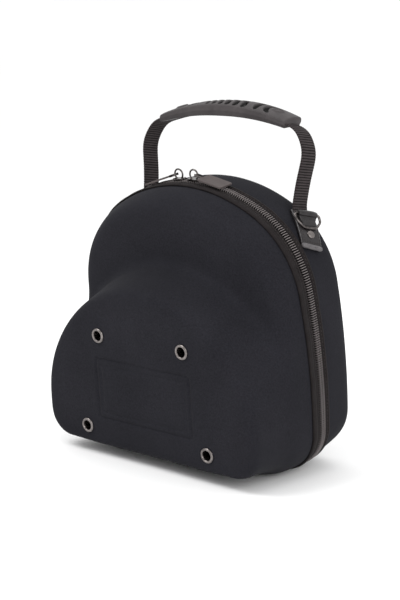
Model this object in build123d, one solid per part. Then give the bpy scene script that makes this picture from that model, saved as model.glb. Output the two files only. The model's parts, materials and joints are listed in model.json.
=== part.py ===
from build123d import *
import os
from math import acos, asin, cos, degrees, radians, sin, tan

# Moulded clamshell hat box: an arched front shell with a domed pocket for the
# hat's peak, and an arched rear shell that carries the handle. Lengths are in
# millimetres. The case is modelled with its rim plane upright (X to the right,
# Y to the back, Z up) and is then stood on its drafted base.

# Rim outline: top arc, shoulder arcs, long side arcs, bottom corner arcs
case_height = 280.0
half_width = 136.6
top_radius = 165.0
top_half_angle = 31.0
shoulder_radius = 98.0
side_radius = 700.0
corner_radius = 47.0

# Front shell
front_panel_depth = 26.0
front_panel_round = 22.0
dome_radius = 136.0
dome_centre_height = 57.0
dome_depth = 86.6
dome_depth_height = 110.0
dome_round = 16.0
face_tilt = 4.0
base_draft = 12.0
base_drop = 1.5

# Rear shell
rear_depth = 77.0
rear_round = 22.0

# Walls
shell_wall = 3.5
lining_thickness = 0.8
layer_gap = 0.05

# Zip closure, front to back
binding_width = 12.0
rear_binding_width = 6.0
binding_thickness = 1.25
binding_edge = 0.95
tape_level = -0.8
tape_thickness = 0.8
tape_edge_gap = 0.1
coil_width = 3.0
coil_height = 2.95
coil_split = 1.0
zip_gap = 9.0
zip_end_x = 107.0
stop_length = 3.4
stop_clearance = 0.3
hinge_strip_thickness = 1.0
hinge_strip_length = 168.0

# Eyelets on the domed face
eyelet_upper_x = 54.4
eyelet_upper_z = 146.1
eyelet_lower_x = 78.6
eyelet_lower_z = 48.8
eyelet_flange_radius = 7.6
eyelet_hole_radius = 4.8
eyelet_wall = 0.5
eyelet_roll = 1.5
eyelet_clearance = 0.1
washer_thickness = 0.6

# Handle
webbing_width = 22.0
webbing_thickness = 1.8
strap_corner_x = 101.0
strap_corner_rise = 72.0
strap_corner_round = 24.0
grip_flat_half = 60.0
grip_bend_round = 150.0
grip_rise = 91.0
grip_half_length = 78.0
grip_width = 32.0
grip_end_rise = 81.5
grip_end_thickness = 8.5
grip_crown_rise = 101.5
grip_thickness = 14.5
grip_edge_round = 3.0
webbing_slot_gap = 0.3
handle_pivot_rise = 16.0
handle_root_gap = 0.6
handle_notch_angle = 42.0
handle_lean_back = 4.0

# Anchors that hold the handle and the rings: each lies on a shoulder arc,
# and its pieces are placed by their distance down the strap from its middle
anchor_angle = 50.0
anchor_y = 49.0
anchor_slant = 28.0
patch_top_down = -18.0
patch_bottom_down = 24.0
patch_width = 25.0
webbing_end_down = 20.0
leather_thickness = 1.8
loop_down = -11.0
loop_width = 19.0
loop_bore = 1.6
loop_wall = 1.4
loop_tail_down = -5.0
rivet_down = 10.0
rivet_stem_radius = 1.5
rivet_head_radius = 4.2
rivet_head_height = 1.4
rivet_clearance = 0.1
rivet_washer_radius = 4.5
rivet_washer_gap = 0.15

# Rings
ring_wire_radius = 1.25
ring_half_width = 14.0
ring_drop = 16.0
ring_shoulder_drop = 8.0
ring_foot_half = 7.0
ring_corner_round = 3.0
ring_bend_round = 7.0
ring_droop = 7.0

# Sliders and pulls
slider_meeting_x = -6.0
slider_spacing = 18.7
slider_length = 14.0
slider_width = 8.2
slider_plate = 1.4
slider_corner = 3.0
slider_clearance = 0.5
slider_post_length = 4.0
slider_post_width = 0.4
slider_foot_drop = 2.4
bail_radius = 5.0
bail_wire_radius = 0.85
bail_sink = 1.2
clasp_pin_radius = 0.7
clasp_gap = 0.35
clasp_cheek = 0.8
clasp_height = 2.4
clasp_length = 9.5
pull_droop = 12.0
tag_length = 29.0
tag_width = 19.0
tag_thickness = 1.6
tag_corner = 1.5

# Worked out
DEEP = 300.0
rear_binding_start = binding_width + zip_gap
zip_centre = binding_width + zip_gap / 2
front_edge = binding_width - binding_edge
rear_edge = rear_binding_start + binding_edge
wall_stack = shell_wall + layer_gap + lining_thickness
lining_outer = -shell_wall - layer_gap
binding_inner = -wall_stack - layer_gap - binding_thickness
coil_floor = tape_level + layer_gap
top_centre = (0.0, case_height - top_radius)
coil_top = coil_floor + coil_height


def step_centre(centre, radius, next_radius, angle):
    """Centre of the arc that follows on, tangent at this angle from vertical."""
    reach = radius - next_radius
    return (centre[0] + reach * sin(radians(angle)), centre[1] + reach * cos(radians(angle)))


shoulder_centre = step_centre(top_centre, top_radius, shoulder_radius, top_half_angle)
side_angle = degrees(
    asin((half_width - shoulder_centre[0] - side_radius) / (shoulder_radius - side_radius))
)
side_centre = step_centre(shoulder_centre, shoulder_radius, side_radius, side_angle)
corner_angle = degrees(acos((corner_radius - side_centre[1]) / (side_radius - corner_radius)))
corner_centre = step_centre(side_centre, side_radius, corner_radius, corner_angle)

face_normal = Vector(0, -cos(radians(face_tilt)), sin(radians(face_tilt)))


def mirrored_arc(side, centre, radius, from_angle, to_angle):
    """Arc between two angles from vertical, on the right (1) or left (-1) side."""
    middle = (side * centre[0], centre[1])
    if side > 0:
        return CenterArc(middle, radius, 90 - to_angle, to_angle - from_angle)
    return CenterArc(middle, radius, 90 + from_angle, to_angle - from_angle)


def arch(offset):
    """The rim outline, moved outwards by offset, as a face in the XZ plane."""
    edges = [CenterArc(top_centre, top_radius + offset, 90 - top_half_angle, 2 * top_half_angle)]
    for side in (1, -1):
        edges.append(
            mirrored_arc(side, shoulder_centre, shoulder_radius + offset, top_half_angle, side_angle)
        )
        edges.append(mirrored_arc(side, side_centre, side_radius + offset, side_angle, corner_angle))
        edges.append(mirrored_arc(side, corner_centre, corner_radius + offset, corner_angle, 180))
    edges.append(Line((-corner_centre[0], -offset), (corner_centre[0], -offset)))
    return Plane.XZ * make_face(Wire(edges))


def dome_outline(offset):
    """Half-round top on straight sides."""
    radius = dome_radius + offset
    low = -corner_radius
    edges = [
        CenterArc((0, dome_centre_height), radius, 0, 180),
        Line((-radius, dome_centre_height), (-radius, low)),
        Line((-radius, low), (radius, low)),
        Line((radius, low), (radius, dome_centre_height)),
    ]
    return Plane.XZ * make_face(Wire(edges))


def base_outline(offset):
    """Straight sides, open far above the dome, on the rim's bottom corners."""
    radius = dome_radius + offset
    corner = corner_radius + offset
    floor = -base_drop - offset / cos(radians(base_draft))
    high = case_height + DEEP
    edges = [
        Line((-radius, high), (-radius, floor + corner)),
        CenterArc((corner - radius, floor + corner), corner, 180, 90),
        Line((corner - radius, floor), (radius - corner, floor)),
        CenterArc((radius - corner, floor + corner), corner, 270, 90),
        Line((radius, floor + corner), (radius, high)),
        Line((radius, high), (-radius, high)),
    ]
    return Plane.XZ * make_face(Wire(edges))


def slab(face, front, back):
    """A face of the XZ plane carried from y = front to y = back."""
    return Pos(0, back, 0) * extrude(face, back - front)


def beyond(point, normal):
    """Everything on the far side of a plane."""
    block = Box(2 * DEEP, 2 * DEEP, DEEP, align=(Align.CENTER, Align.CENTER, Align.MIN))
    return Plane(origin=point, x_dir=(1, 0, 0), z_dir=normal) * block


def face_point(x, height):
    """Point on the domed face at this height above the rim's bottom."""
    y = -dome_depth + tan(radians(face_tilt)) * (height - dome_depth_height)
    return Vector(x, y, height)


def dome(offset, back):
    """The domed front: a level prism, a second one whose floor and corners climb
    with the base, and the tilted face."""
    climb = Vector(0, -cos(radians(base_draft)), sin(radians(base_draft)))
    level = slab(dome_outline(offset), -DEEP / 2, back)
    body = level & extrude(base_outline(offset), DEEP, dir=climb)
    face_origin = face_point(0, dome_depth_height) + face_normal * offset
    body = body - beyond(face_origin, face_normal)
    front = body.faces().sort_by(Axis(face_origin, face_normal))[-1]
    return fillet(front.edges(), dome_round + offset)


def front_body(offset, dome_back, back):
    """Solid of the front half, moved outwards by offset."""
    panel = slab(arch(offset), -front_panel_depth - offset, back)
    front = panel.faces().sort_by(Axis.Y)[0]
    panel = fillet(front.edges(), front_panel_round + offset)
    return panel + dome(offset, dome_back)


def rear_body(offset, front):
    """Solid of the rear half, moved outwards by offset."""
    body = slab(arch(offset), front, rear_depth + offset)
    back = body.faces().sort_by(Axis.Y)[-1]
    return fillet(back.edges(), rear_round + offset)


def band(inner, outer, front, back):
    """Closed ring that follows the rim between two offsets."""
    return slab(arch(outer), front, back) - slab(arch(inner), front - 1, back + 1)


def open_band(inner, outer, front, back):
    """Ring that stops at the zip's ends under the case."""
    bottom = Box(2 * zip_end_x, DEEP, 2 * corner_radius)
    return band(inner, outer, front, back) - bottom


def at_anchor(shape, side, down, offset):
    """Place a shape on the shoulder, so far down the slanted strap: its Z points
    out of the shell, its X runs down the strap and its Y across it."""
    angle = anchor_angle + degrees(down * cos(radians(anchor_slant)) / shoulder_radius)
    y = anchor_y - down * sin(radians(anchor_slant))
    turn = Pos(shoulder_centre[0], y, shoulder_centre[1]) * Rot(0, angle, 0)
    shape = turn * Pos(0, 0, shoulder_radius + offset) * Rot(0, 0, -anchor_slant) * shape
    if side < 0:
        shape = mirror(shape, Plane.YZ)
    return shape


def column(side, top_down, bottom_down, width):
    """Upright block over an anchor, between two distances down the strap."""
    block = Box(bottom_down - top_down, width, shoulder_radius)
    return at_anchor(block, side, (top_down + bottom_down) / 2, 0)


# Front half ------------------------------------------------------------------


def eyelet_places():
    """Name, centre and plane of each eyelet on the domed face."""
    places = {}
    for side_name, side in (("left", -1), ("right", 1)):
        upper = face_point(side * eyelet_upper_x, eyelet_upper_z)
        lower = face_point(side * eyelet_lower_x, eyelet_lower_z)
        places["eyelet_upper_" + side_name] = Plane(upper, x_dir=(1, 0, 0), z_dir=face_normal)
        places["eyelet_lower_" + side_name] = Plane(lower, x_dir=(1, 0, 0), z_dir=face_normal)
    return places


def eyelet_holes():
    """Drilled holes for the eyelet barrels."""
    radius = eyelet_hole_radius + eyelet_wall + eyelet_clearance
    return [plane * Cylinder(radius, 6 * shell_wall) for plane in eyelet_places().values()]


def make_front_shell():
    shell = front_body(0, -0.2, front_edge) - front_body(-shell_wall, 0, front_edge + 1)
    return shell - eyelet_holes()


def make_front_lining():
    inner = lining_outer - lining_thickness
    lining = front_body(lining_outer, 0, front_edge) - front_body(inner, 0, front_edge + 1)
    return lining - eyelet_holes()


def make_binding(front, back, pocket_front, pocket_back):
    """Strip folded over a shell's edge: outer leaf, edge and inner leaf."""
    strip = band(binding_inner, layer_gap + binding_thickness, front, back)
    return strip - band(-wall_stack - layer_gap, layer_gap, pocket_front, pocket_back)


def make_tape(front, back):
    return open_band(tape_level - tape_thickness, tape_level, front, back)


def make_coil(front, back):
    return open_band(coil_floor, coil_top, front, back)


def make_stops(front, back):
    """Two end stops, one past each end of a coil."""
    middle = zip_end_x - stop_clearance - stop_length / 2
    strip = band(tape_level - tape_thickness, coil_top, front, back)
    window = Box(stop_length, DEEP, 2 * corner_radius)
    return Compound([(strip & (Pos(side * middle, 0, 0) * window)).solid() for side in (1, -1)])


def make_hinge_strip():
    """Flexible strip that joins the halves under the case."""
    width = zip_gap - 0.4
    level = -tape_level + tape_thickness / 2
    strip = Box(hinge_strip_length, width, hinge_strip_thickness)
    return Pos(0, binding_width + width / 2, level) * strip


def make_eyelet():
    """Rolled flange on a barrel that goes through the shell and lining."""
    bore = eyelet_hole_radius
    barrel = bore + eyelet_wall
    depth = wall_stack + washer_thickness + 2 * layer_gap
    profile = Polyline(
        (bore, -depth),
        (barrel, -depth),
        (barrel, layer_gap),
        (eyelet_flange_radius, layer_gap),
        (eyelet_flange_radius, 0.4 * eyelet_roll),
        (eyelet_flange_radius - 0.7, eyelet_roll),
        (barrel + 0.3, eyelet_roll),
        (bore, 0.5 * eyelet_roll),
        close=True,
    )
    return revolve(Plane.XZ * make_face(profile), Axis.Z)


def make_eyelet_washers():
    """Flat washers round the barrels, on the inside of the lining."""
    inner = eyelet_hole_radius + eyelet_wall + layer_gap
    washer = Cylinder(eyelet_flange_radius, washer_thickness) - Cylinder(inner, 2)
    level = -wall_stack - layer_gap - washer_thickness / 2
    return Compound([plane * Pos(0, 0, level) * washer for plane in eyelet_places().values()])


# Rear half -------------------------------------------------------------------


def rivet_holes():
    stem = Cylinder(rivet_stem_radius + rivet_clearance, 40)
    return [at_anchor(stem, side, rivet_down, 0) for side in (1, -1)]


def make_rear_shell():
    shell = rear_body(0, rear_edge) - rear_body(-shell_wall, rear_edge - 1)
    return shell - rivet_holes()


def make_rear_lining():
    inner = lining_outer - lining_thickness
    lining = rear_body(lining_outer, rear_edge) - rear_body(inner, rear_edge - 1)
    return lining - rivet_holes()


patch_reach = -patch_top_down
patch_top_angle = anchor_angle - degrees(patch_reach * cos(radians(anchor_slant)) / shoulder_radius)
strap_foot_x = shoulder_centre[0] + (shoulder_radius + 1) * sin(radians(patch_top_angle))
strap_foot_y = anchor_y + patch_reach * sin(radians(anchor_slant))
strap_foot_z = shoulder_centre[1] + (shoulder_radius + 1) * cos(radians(patch_top_angle))
webbing_floor = 2 * layer_gap
webbing_roof = webbing_floor + webbing_thickness
patch_floor = webbing_roof + 2 * layer_gap
patch_roof = patch_floor + leather_thickness
loop_floor = patch_roof + layer_gap
loop_level = loop_floor + loop_wall + loop_bore


def above_strap_foot():
    """Everything higher than the foot of the handle's straps."""
    return beyond(Vector(0, 0, strap_foot_z), Vector(0, 0, 1))


def skin(low, high, block):
    """Flexible sheet that follows the rear shell's side and shoulder in a block."""
    sheet = rear_body(high, rear_edge) - rear_body(low, rear_edge - 1)
    return (sheet & block) - rivet_holes()


def make_webbing_end(side):
    """Sewn end of the handle's webbing: flat on the shell under the patch, then a
    short stub that stands up to the handle's pivot."""
    block = column(side, patch_top_down, webbing_end_down, webbing_width)
    sewn = skin(webbing_floor, webbing_roof, block) - above_strap_foot()
    sink = 2.0
    lean = (strap_corner_x - strap_foot_x) / strap_corner_rise
    low = (strap_foot_x - lean * sink, -sink)
    high = (strap_foot_x + lean * handle_pivot_rise, handle_pivot_rise)
    strap = flat_strap(Line(low, high), webbing_width, webbing_thickness)
    stub = upright(notched(strap, handle_pivot_rise - handle_root_gap / 2, 1))
    if side < 0:
        stub = mirror(stub, Plane.YZ)
    stub = stub - rear_body(webbing_floor, rear_edge - 1)
    cover = rear_body(patch_roof + 2, rear_edge) - rear_body(webbing_roof, rear_edge - 1)
    stub = stub - (cover - above_strap_foot())
    return sewn + stub


def make_anchor_patch(side):
    block = column(side, patch_top_down, patch_bottom_down, patch_width)
    return skin(patch_floor, patch_roof, block) - above_strap_foot()


def make_anchor_loop(side):
    """Strap folded round the ring's bar, with its tail flat on the patch."""
    turn = Rot(90, 0, 0)
    outer = loop_bore + loop_wall
    tube = at_anchor(turn * Cylinder(outer, loop_width), side, loop_down, loop_level)
    saddle = column(side, loop_down - outer, loop_down + outer, loop_width)
    below_bar = Box(4 * outer, loop_width, 4 * outer)
    saddle = saddle & at_anchor(below_bar, side, loop_down, loop_level - 2 * outer)
    saddle = saddle - rear_body(loop_floor, rear_edge - 1)
    tail = skin(loop_floor, loop_floor + loop_wall, column(side, loop_down, loop_tail_down, loop_width))
    bore = at_anchor(turn * Cylinder(loop_bore, 2 * loop_width), side, loop_down, loop_level)
    return tube + saddle + tail - bore


def make_tab_rivet(side):
    """Domed head, stem and the part that is clinched over the inside washer."""
    inside = -wall_stack - rivet_washer_gap - washer_thickness - layer_gap
    clinch_height = 0.8
    stem_length = loop_floor - inside + clinch_height
    stem = Pos(0, 0, loop_floor - stem_length / 2) * Cylinder(rivet_stem_radius, stem_length)
    head = Pos(0, 0, loop_floor + rivet_head_height / 2) * Cylinder(rivet_head_radius, rivet_head_height)
    head = fillet(head.edges().sort_by(Axis.Z)[-1], rivet_head_height - 0.3)
    clinch = Pos(0, 0, inside - clinch_height / 2) * Cylinder(rivet_stem_radius + 1, clinch_height)
    return at_anchor(stem + head + clinch, side, rivet_down, 0)


def make_rivet_washer(side):
    inner = rivet_stem_radius + layer_gap
    washer = Cylinder(rivet_washer_radius, washer_thickness) - Cylinder(inner, 2)
    level = -wall_stack - rivet_washer_gap - washer_thickness / 2
    return at_anchor(Pos(0, 0, level) * washer, side, rivet_down, 0)


# Handle ----------------------------------------------------------------------

def upright(shape):
    """Move a shape drawn above the straps' feet so it leans a little back from plumb."""
    return Pos(0, strap_foot_y, strap_foot_z) * Rot(-base_draft - handle_lean_back, 0, 0) * shape


def notched(strap, rise, facing):
    """Cut a strap to a point at this height, facing up (1) or down (-1), so the two
    straps that meet there can swing past each other's edges."""
    for side in (1, -1):
        across = side * sin(radians(handle_notch_angle))
        along = facing * cos(radians(handle_notch_angle))
        strap = strap - beyond(Vector(0, 0, rise), Vector(0, across, along))
    return strap


def strap_path(root_rise):
    """Centre line of the webbing: up one side, through the grip, down the other."""
    lean = (strap_corner_x - strap_foot_x) / strap_corner_rise
    root = strap_foot_x + lean * root_rise
    corners = [
        (-root, root_rise),
        (-strap_corner_x, strap_corner_rise),
        (-grip_flat_half, grip_rise),
        (grip_flat_half, grip_rise),
        (strap_corner_x, strap_corner_rise),
        (root, root_rise),
    ]
    radii = [strap_corner_round, grip_bend_round, grip_bend_round, strap_corner_round]
    return FilletPolyline(*corners, radius=radii)


def flat_strap(line, width, thickness):
    """Flat strap of this width and thickness along a line of the XZ plane."""
    path = Plane.XZ * line
    section = Plane(path @ 0, z_dir=path % 0, x_dir=(0, 1, 0)) * Rectangle(width, thickness)
    return sweep(section, path)


def strap_solid(width, thickness):
    return flat_strap(strap_path(handle_pivot_rise), width, thickness)


def make_handle_webbing():
    strap = strap_solid(webbing_width, webbing_thickness)
    return upright(notched(strap, handle_pivot_rise + handle_root_gap / 2, -1))


def make_handle_grip():
    """Curved grip moulded round the webbing."""
    low_end = grip_end_rise - grip_end_thickness / 2
    high_end = grip_end_rise + grip_end_thickness / 2
    crown_low = grip_crown_rise - grip_thickness
    half = grip_half_length
    outline = [
        ThreePointArc((-half, high_end), (0, grip_crown_rise), (half, high_end)),
        Line((half, high_end), (half, low_end)),
        ThreePointArc((half, low_end), (0, crown_low), (-half, low_end)),
        Line((-half, low_end), (-half, high_end)),
    ]
    body = Pos(0, grip_width / 2, 0) * extrude(Plane.XZ * make_face(Wire(outline)), grip_width)
    body = fillet(body.edges(), grip_edge_round)
    slot = strap_solid(webbing_width + 2 * webbing_slot_gap, webbing_thickness + 2 * webbing_slot_gap)
    return upright(body - slot)


# Rings, sliders and pulls ----------------------------------------------------


def make_ring(side):
    """D-ring: a straight bar inside the loop and a rounded bow that hangs down."""
    corners = [
        (-ring_half_width, 0),
        (ring_half_width, 0),
        (ring_half_width, ring_shoulder_drop),
        (ring_foot_half, ring_drop),
        (-ring_foot_half, ring_drop),
        (-ring_half_width, ring_shoulder_drop),
    ]
    radii = [ring_corner_round, ring_corner_round] + [ring_bend_round] * 2
    radii = radii + [ring_bend_round] * 2
    bow = FilletPolyline(*corners, radius=radii, close=True)
    path = Plane(origin=(0, 0, 0), x_dir=(0, 1, 0), z_dir=(0, 0, -1)) * bow
    section = Plane(path @ 0.0, z_dir=path % 0.0) * Circle(ring_wire_radius)
    return at_anchor(Rot(0, ring_droop, 0) * sweep(section, path), side, loop_down, loop_level)


slider_angles = {
    side: degrees(asin((side * slider_meeting_x + slider_spacing / 2) / top_radius)) for side in (1, -1)
}


def on_top_arc(shape, side):
    """Place a shape drawn at the top of the rim, with X along the zip, at its
    slider's place on the top arc; the left one is a mirror image."""
    turn = Pos(0, zip_centre, top_centre[1]) * Rot(0, slider_angles[side], 0)
    shape = turn * Pos(0, 0, top_radius) * shape
    if side < 0:
        shape = mirror(shape, Plane.YZ)
    return shape


def hung(shape):
    """Turn a pull's piece, drawn level with its pin at the origin, so it rests on the zip."""
    return Pos(pin_offset, 0, bail_level) * Rot(0, pull_droop, 0) * shape


bail_level = coil_top + slider_clearance + slider_plate + bail_radius - bail_sink
pin_offset = bail_radius - bail_wire_radius - clasp_pin_radius - clasp_gap


def make_slider(side):
    """Plates above and below the coils, a post between them and a round bail."""
    plate_floor = coil_top + slider_clearance
    foot_top = tape_level - tape_thickness - slider_clearance
    plate = Box(slider_length, slider_width, slider_plate)
    plate = fillet(plate.edges().filter_by(Axis.Z), slider_corner)
    top = Pos(0, 0, plate_floor + slider_plate / 2) * plate
    foot = Pos(0, 0, foot_top - slider_plate / 2) * plate
    post_height = plate_floor - foot_top + slider_plate
    post = Pos(0, 0, (plate_floor + foot_top) / 2) * Box(
        slider_post_length, slider_post_width, post_height
    )
    bail = Pos(0, 0, bail_level) * Rot(90, 0, 0) * Torus(bail_radius, bail_wire_radius)
    bail = bail - Box(slider_length, slider_width, 2 * plate_floor)
    return on_top_arc(top + foot + post + bail, side)


def make_clasp(side):
    """Fork with a pin through the bail, that carries the tag."""
    reach = bail_wire_radius + clasp_gap
    cheek = Pos(clasp_length / 2 - 1, 0, 0) * Box(clasp_length, clasp_cheek, clasp_height)
    cheeks = [Pos(0, end * (reach + clasp_cheek / 2), 0) * cheek for end in (1, -1)]
    pin = Rot(90, 0, 0) * Cylinder(clasp_pin_radius, 2 * reach + 0.2)
    bridge_x = clasp_length - 1 - clasp_cheek / 2
    bridge = Pos(bridge_x, 0, 0) * Box(clasp_cheek, 2 * reach + 0.2, clasp_height)
    clasp = cheeks[0] + cheeks[1] + pin + bridge
    return on_top_arc(hung(clasp), side)


def make_tag(side):
    """Flat moulded tag fixed to the clasp's end."""
    tag = Box(tag_length, tag_width, tag_thickness)
    tag = fillet(tag.edges().filter_by(Axis.Z), tag_corner)
    start = clasp_length - 1 + layer_gap
    return on_top_arc(hung(Pos(start + tag_length / 2, 0, 0) * tag), side)


def make_parts():
    """Every node of the case, with the rim plane upright."""
    coil_front = zip_centre - coil_split / 2 - coil_width
    coil_back = zip_centre + coil_split / 2 + coil_width
    tape_reach = coil_split / 2 + tape_edge_gap
    parts = {
        "front_shell": make_front_shell(),
        "front_lining": make_front_lining(),
        "front_binding": make_binding(0, binding_width, -1, front_edge + layer_gap),
        "front_zip_tape": make_tape(binding_width, zip_centre - tape_reach),
        "front_zip_coil": make_coil(coil_front, zip_centre - coil_split / 2),
        "front_zip_stops": make_stops(coil_front, zip_centre - coil_split / 2),
        "hinge_strip": make_hinge_strip(),
        "eyelet_washers": make_eyelet_washers(),
        "rear_shell": make_rear_shell(),
        "rear_lining": make_rear_lining(),
        "rear_binding": make_binding(
            rear_binding_start,
            rear_binding_start + rear_binding_width,
            rear_edge - layer_gap,
            rear_binding_start + rear_binding_width + 1,
        ),
        "rear_zip_tape": make_tape(zip_centre + tape_reach, rear_binding_start),
        "rear_zip_coil": make_coil(zip_centre + coil_split / 2, coil_back),
        "rear_zip_stops": make_stops(zip_centre + coil_split / 2, coil_back),
        "handle_webbing": make_handle_webbing(),
        "handle_grip": make_handle_grip(),
    }
    eyelet = make_eyelet()
    for name, plane in eyelet_places().items():
        parts[name] = plane * eyelet
    for side_name, side in (("left", -1), ("right", 1)):
        parts["webbing_end_" + side_name] = make_webbing_end(side)
        parts["anchor_patch_" + side_name] = make_anchor_patch(side)
        parts["anchor_loop_" + side_name] = make_anchor_loop(side)
        parts["tab_rivet_" + side_name] = make_tab_rivet(side)
        parts["rivet_washer_" + side_name] = make_rivet_washer(side)
        parts["ring_" + side_name] = make_ring(side)
        parts["slider_" + side_name] = make_slider(side)
        parts["pull_clasp_" + side_name] = make_clasp(side)
        parts["pull_tag_" + side_name] = make_tag(side)
    return parts


def standing(parts):
    """Stand the case on its base, with the origin under the middle of its box."""
    parts = {name: Rot(base_draft, 0, 0) * shape for name, shape in parts.items()}
    boxes = [shape.bounding_box() for shape in parts.values()]
    low_y = min(box.min.Y for box in boxes)
    high_y = max(box.max.Y for box in boxes)
    low_z = min(box.min.Z for box in boxes)
    move = Pos(0, -(low_y + high_y) / 2, -low_z)
    return {name: move * shape for name, shape in parts.items()}, move


def place_of(move, x, y, z):
    """A point of the upright rim frame, where it is on the standing case."""
    return (move * Rot(base_draft, 0, 0) * Pos(x, y, z)).position


os.makedirs("parts", exist_ok=True)
model, shift = standing(make_parts())
for node, solid in model.items():
    export_step(solid, "parts/" + node + ".step")

loop_bar = at_anchor(Sphere(1), 1, loop_down, loop_level).bounding_box().center()
pin_places = {side: on_top_arc(hung(Sphere(1)), side).bounding_box().center() for side in (1, -1)}
handle_lean = radians(base_draft + handle_lean_back)
pivot_reach = Vector(0, sin(handle_lean), cos(handle_lean)) * handle_pivot_rise
axis_points = {
    "case hinge": Vector(0, zip_centre, -tape_level + tape_thickness / 2),
    "handle pivot": Vector(0, strap_foot_y, strap_foot_z) + pivot_reach,
    "slider arc centre": Vector(0, zip_centre, top_centre[1]),
    "right ring bar": loop_bar,
    "right pull pin": pin_places[1],
    "left pull pin": pin_places[-1],
    "base": Vector(0, -dome_depth / 2, -base_drop + dome_depth / 2 * tan(radians(base_draft))),
}
for name, point in axis_points.items():
    print(name, [round(value, 3) for value in place_of(shift, point.X, point.Y, point.Z)])
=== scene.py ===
import json
import bmesh
import bpy
import numpy as np
from mathutils import Matrix, Vector


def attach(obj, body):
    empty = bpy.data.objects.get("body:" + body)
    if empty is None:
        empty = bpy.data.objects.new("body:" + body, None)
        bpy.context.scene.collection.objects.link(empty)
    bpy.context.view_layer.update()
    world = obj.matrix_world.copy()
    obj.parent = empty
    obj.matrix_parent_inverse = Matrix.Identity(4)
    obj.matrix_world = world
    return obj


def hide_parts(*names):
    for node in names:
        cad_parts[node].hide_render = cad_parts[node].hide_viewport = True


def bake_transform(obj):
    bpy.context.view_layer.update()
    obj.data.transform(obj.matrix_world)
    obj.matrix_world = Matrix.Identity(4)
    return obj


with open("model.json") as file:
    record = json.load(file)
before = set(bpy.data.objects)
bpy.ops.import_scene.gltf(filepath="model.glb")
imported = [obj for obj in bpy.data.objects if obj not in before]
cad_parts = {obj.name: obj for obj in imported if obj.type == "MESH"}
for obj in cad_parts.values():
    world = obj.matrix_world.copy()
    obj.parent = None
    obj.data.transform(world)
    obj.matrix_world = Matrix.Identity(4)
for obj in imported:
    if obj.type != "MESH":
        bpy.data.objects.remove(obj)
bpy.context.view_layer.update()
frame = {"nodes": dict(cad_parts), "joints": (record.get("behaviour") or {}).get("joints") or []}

# The looks of a moulded clamshell hat box. Shapes are worked out in millimetres
# in the upright case's own frame (X to the right, Y to the back, Z up, the rim's
# bottom at the origin), and stand() leans and moves them to where the box stands.

NODES = frame["nodes"]
JOINTS = {joint["name"]: joint for joint in frame["joints"]}

# Case ------------------------------------------------------------------------
LEAN = np.radians(12.0)
CASE_HINGE = (0.0, 16.5, 1.2)
HALF_WIDTH = 136.6
TOP_CENTRE, TOP_RADIUS, TOP_ANGLE = (0.0, 115.0), 165.0, np.radians(31.0)
SHOULDER_RADIUS, SIDE_RADIUS, CORNER_RADIUS = 98.0, 700.0, 47.0
RAY_CENTRE = 92.0
PANEL_DEPTH, PANEL_HALF, PANEL_LOW, PANEL_INSET = 26.5, 136.2, 5.2, 11.5
VALLEY_CENTRE, VALLEY_RADIUS = 64.0, 143.5
DOME_CENTRE, DOME_RADIUS, DOME_HALF, DOME_LOW, DOME_CORNER = 58.5, 137.2, 136.4, 30.5, 28.0
FACE_TILT = np.radians(4.0)
DOME_DEPTH, FACE_SLOPE, FACE_HEIGHT = 86.6, np.tan(FACE_TILT), 110.0
FRONT_SOFTNESS, REAR_SOFTNESS = (19.0, 10.0), (32.0, 14.0)
EMBLEM_CENTRE, EMBLEM_HALF, EMBLEM_CORNER = 91.4, (60.5, 30.7), 3.0
REAR_DEPTH, REAR_CROWN = 77.0, 1.6
SHELL_WALL, LINING_GAP, LINING_WALL = 3.5, 0.08, 0.8
ZIP_END = 107.0
TOOTH_PITCH, TOOTH_ROD, STITCH_PITCH, TAPE_STITCH_PITCH = 2.35, 0.62, 3.7, 2.4
STRIP_SPAN, STRIP_TOP, STRIP_BOTTOM, STRIP_HALF, STRIP_BEND = (8.0, 25.0), 1.7, 0.75, 84.0, 4.0
EYELET_HOLE = 5.4
EYELETS = {
    "upper_left": (-54.4, 146.1),
    "upper_right": (54.4, 146.1),
    "lower_left": (-78.6, 48.8),
    "lower_right": (78.6, 48.8),
}

# Handle and anchors ----------------------------------------------------------
HANDLE_TURN = np.radians(-16.0)
BOSS_PLACE = 62.0
FOOT = (99.1, 57.45, 247.5)
ANCHOR_ANGLE, ANCHOR_Y, ANCHOR_SLANT = np.radians(50.0), 49.0, np.radians(28.0)
SHOULDER_FLAT_END, REAR_ROUND = 55.0, 22.0
RIB_PITCH = 2.6
GRIP_HALF, GRIP_HALF_WIDTH, GRIP_CROWN, GRIP_TIP = 80.0, 16.0, 2.6, 0.2
PATCH_TOP, PATCH_END, PATCH_HALF = -19.0, 21.5, 12.5
LOOP_DOWN, LOOP_LEVEL = -11.0, 7.05


def smooth_step(low, high, value):
    """0 below low, 1 above high, and a smooth cubic between."""
    t = np.clip((value - low) / (high - low), 0, 1)
    return t * t * (3 - 2 * t)


def about_x(points, angle):
    """Points turned about the X axis: what is above moves to the front."""
    x, y, z = np.moveaxis(np.asarray(points, float), -1, 0)
    c, s = np.cos(angle), np.sin(angle)
    return np.stack([x, c * y - s * z, s * y + c * z], -1)


SHIFT = np.array(JOINTS["case_opening"]["pos_m"]) * 1000 - about_x(CASE_HINGE, LEAN)


def stand(points):
    """Upright case frame in millimetres to the row frame in metres."""
    return (about_x(points, LEAN) + SHIFT) / 1000


def step_centre(centre, radius, next_radius, angle):
    """Centre of the arc that follows on, tangent at this angle from vertical."""
    reach = radius - next_radius
    return (centre[0] + reach * np.sin(angle), centre[1] + reach * np.cos(angle))


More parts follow.
